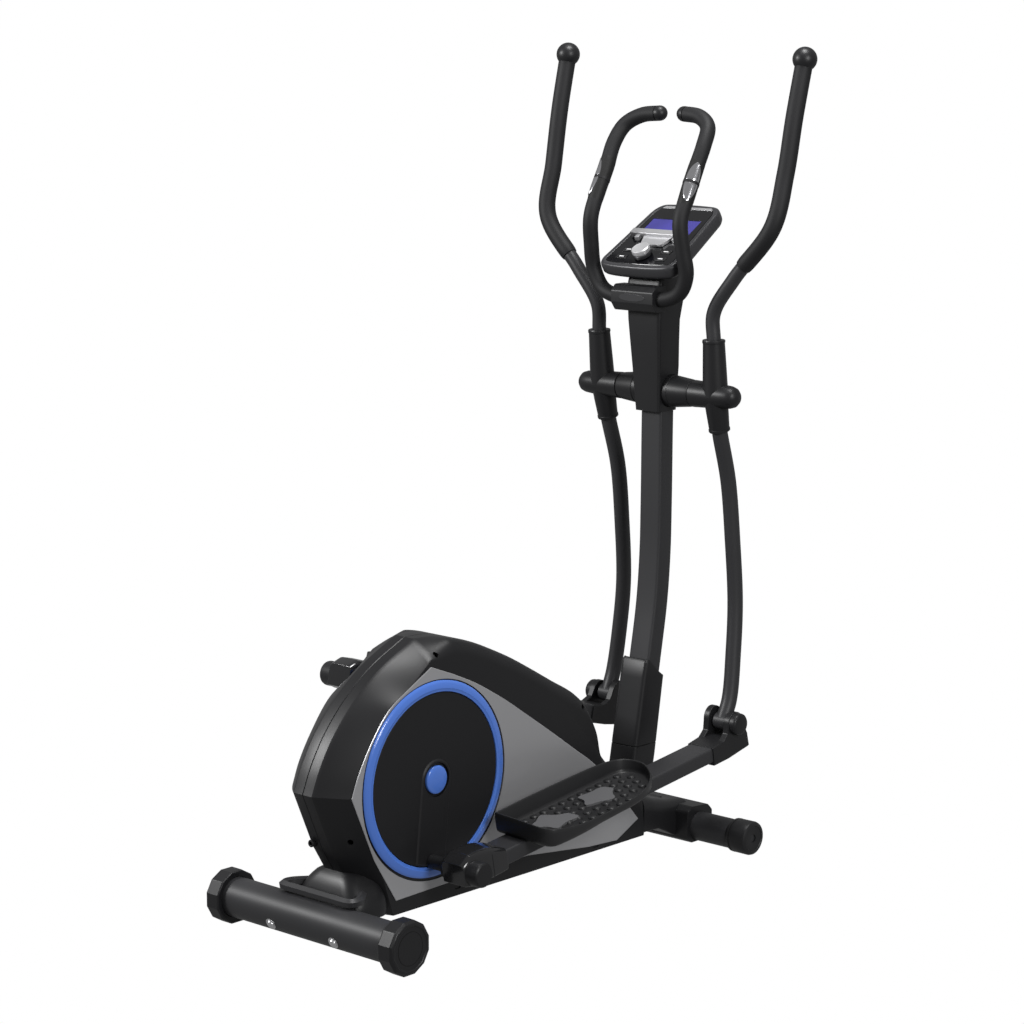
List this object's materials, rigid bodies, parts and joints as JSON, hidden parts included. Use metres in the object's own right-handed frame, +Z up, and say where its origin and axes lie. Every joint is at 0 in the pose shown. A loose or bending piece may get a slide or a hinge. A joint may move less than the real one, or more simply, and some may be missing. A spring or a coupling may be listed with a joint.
{
  "type": "elliptical trainer",
  "caption": "Home elliptical trainer with a rear crank in a teardrop housing, linked pedal bars and swing arms, a fixed handlebar and a tilted console on a curved mast.",
  "frame": {"origin": "on the floor, at the middle of the length and width", "axes": "+X forward, the way the user faces, from the rear stabiliser to the mast; +Y to the user's left; +Z up"},
  "size_m": [1.1383, 0.634, 1.6197],
  "materials": {
    "frame_paint": "satin powder coat",
    "dark_plastic": "fine satin grain",
    "housing_plastic": "satin",
    "black_plastic": "satin",
    "wheel_plastic": "satin",
    "pedal_plastic": "satin with raised studs",
    "silver_panel": "silver, semi-gloss",
    "silver_trim": "silver, satin",
    "blue_plastic": "gloss",
    "console_grey": "satin",
    "console_gloss": "high gloss",
    "display_blue": "gloss window",
    "button_black": "gloss",
    "spun_silver": "spun",
    "sensor_chrome": "polished",
    "grip_foam": "closed-cell foam",
    "belt_rubber": "matte",
    "bare_steel": "machined",
    "cast_flywheel": "turned"
  },
  "bodies": {
    "frame": {"main_beam": "frame_paint", "rear_stabiliser": "frame_paint", "rear_cap_left": "dark_plastic", "rear_cap_right": "dark_plastic", "lift_handle": "frame_paint", "rear_neck_cover": "dark_plastic", "front_stabiliser": "frame_paint", "front_saddle": "dark_plastic", "housing_left": "housing_plastic", "housing_right": "housing_plastic", "side_panel_left": "silver_panel", "side_panel_right": "silver_panel", "power_inlet": "black_plastic", "magnetic_brake": "bare_steel", "drive_belt": "belt_rubber", "mast": "frame_paint", "mast_boot": "dark_plastic", "mast_cover": "dark_plastic", "clamp_cover": "dark_plastic", "crossbar_sleeve_left": "dark_plastic", "crossbar_sleeve_right": "dark_plastic", "handlebar": "frame_paint", "handlebar_foam_left": "grip_foam", "handlebar_foam_right": "grip_foam", "pulse_sensor_left": "sensor_chrome", "pulse_sensor_right": "sensor_chrome", "console_body": "console_grey", "console_face": "console_gloss", "console_display": "display_blue", "tablet_ledge": "silver_trim"},
    "crank": {"crank_axle": "bare_steel", "drive_pulley": "black_plastic", "crank_disc_left": "black_plastic", "crank_disc_right": "black_plastic", "crank_ring_left": "blue_plastic", "crank_ring_right": "blue_plastic", "hub_cap_left": "blue_plastic", "hub_cap_right": "blue_plastic"},
    "flywheel": {"flywheel": "cast_flywheel"},
    "swing_arm_left": {"swing_arm_left": "frame_paint", "arm_tube_left": "frame_paint", "arm_grip_left": "grip_foam"},
    "pedal_bar_left": {"pedal_bar_left": "frame_paint", "crank_housing_left": "dark_plastic", "fork_bracket_left": "dark_plastic", "pedal_left": "pedal_plastic"},
    "swing_arm_right": {"swing_arm_right": "frame_paint", "arm_tube_right": "frame_paint", "arm_grip_right": "grip_foam"},
    "pedal_bar_right": {"pedal_bar_right": "frame_paint", "crank_housing_right": "dark_plastic", "fork_bracket_right": "dark_plastic", "pedal_right": "pedal_plastic"},
    "transport_wheel_left": {"transport_wheel_left": "wheel_plastic"},
    "transport_wheel_right": {"transport_wheel_right": "wheel_plastic"},
    "console_knob": {"console_knob": "spun_silver"},
    "button_upper_left": {"button_upper_left": "button_black"},
    "button_lower_left": {"button_lower_left": "button_black"},
    "button_upper_right": {"button_upper_right": "button_black"},
    "button_lower_right": {"button_lower_right": "button_black"}
  },
  "joints": [
    {"name": "crank_turn", "type": "hinge", "parent": "frame", "child": "crank", "pos_m": [-0.2851, 0, 0.2833], "axis": [0, 1, 0], "range_deg": [0, 90]},
    {"name": "flywheel_spin", "type": "hinge", "parent": "frame", "child": "flywheel", "pos_m": [0.0009, 0, 0.22], "axis": [0, 1, 0], "range_deg": [0, 516]},
    {"name": "arm_swing_left", "type": "hinge", "parent": "frame", "child": "swing_arm_left", "pos_m": [0.4508, 0.147, 0.9326], "axis": [0, 1, 0], "range_deg": [-13.6, 0]},
    {"name": "bar_pivot_left", "type": "hinge", "parent": "swing_arm_left", "child": "pedal_bar_left", "pos_m": [0.49376, 0.165, 0.27099], "axis": [0, 1, 0], "range_deg": [-1.2, 0]},
    {"name": "arm_swing_right", "type": "hinge", "parent": "frame", "child": "swing_arm_right", "pos_m": [0.4508, -0.147, 0.9326], "axis": [0, 1, 0], "range_deg": [0, 10.9]},
    {"name": "bar_pivot_right", "type": "hinge", "parent": "swing_arm_right", "child": "pedal_bar_right", "pos_m": [0.46623, -0.165, 0.26978], "axis": [0, 1, 0], "range_deg": [0, 1.2]},
    {"name": "wheel_roll_left", "type": "hinge", "parent": "frame", "child": "transport_wheel_left", "pos_m": [0.4799, 0.212, 0.0347], "axis": [0, 1, 0], "continuous": true},
    {"name": "wheel_roll_right", "type": "hinge", "parent": "frame", "child": "transport_wheel_right", "pos_m": [0.4799, -0.212, 0.0347], "axis": [0, 1, 0], "continuous": true},
    {"name": "knob_turn", "type": "hinge", "parent": "frame", "child": "console_knob", "pos_m": [0.39586, 0, 1.21235], "axis": [-0.5225, 0, 0.8526], "continuous": true},
    {"name": "press_upper_left", "type": "slide", "parent": "frame", "child": "button_upper_left", "axis": [0.5225, 0, -0.8526], "range_m": [0, 0.0015], "stiffness_N_per_m": 400},
    {"name": "press_lower_left", "type": "slide", "parent": "frame", "child": "button_lower_left", "axis": [0.5225, 0, -0.8526], "range_m": [0, 0.0015], "stiffness_N_per_m": 400},
    {"name": "press_upper_right", "type": "slide", "parent": "frame", "child": "button_upper_right", "axis": [0.5225, 0, -0.8526], "range_m": [0, 0.0015], "stiffness_N_per_m": 400},
    {"name": "press_lower_right", "type": "slide", "parent": "frame", "child": "button_lower_right", "axis": [0.5225, 0, -0.8526], "range_m": [0, 0.0015], "stiffness_N_per_m": 400}
  ],
  "couplings": [
    {"joint": "flywheel_spin", "follows": "crank_turn", "ratio": 5.7273},
    {"joint": "arm_swing_left", "follows": "crank_turn", "ratio": -0.15024},
    {"joint": "bar_pivot_left", "follows": "crank_turn", "ratio": -0.011986},
    {"joint": "arm_swing_right", "follows": "crank_turn", "ratio": 0.11978},
    {"joint": "bar_pivot_right", "follows": "crank_turn", "ratio": 0.011682}
  ]
}
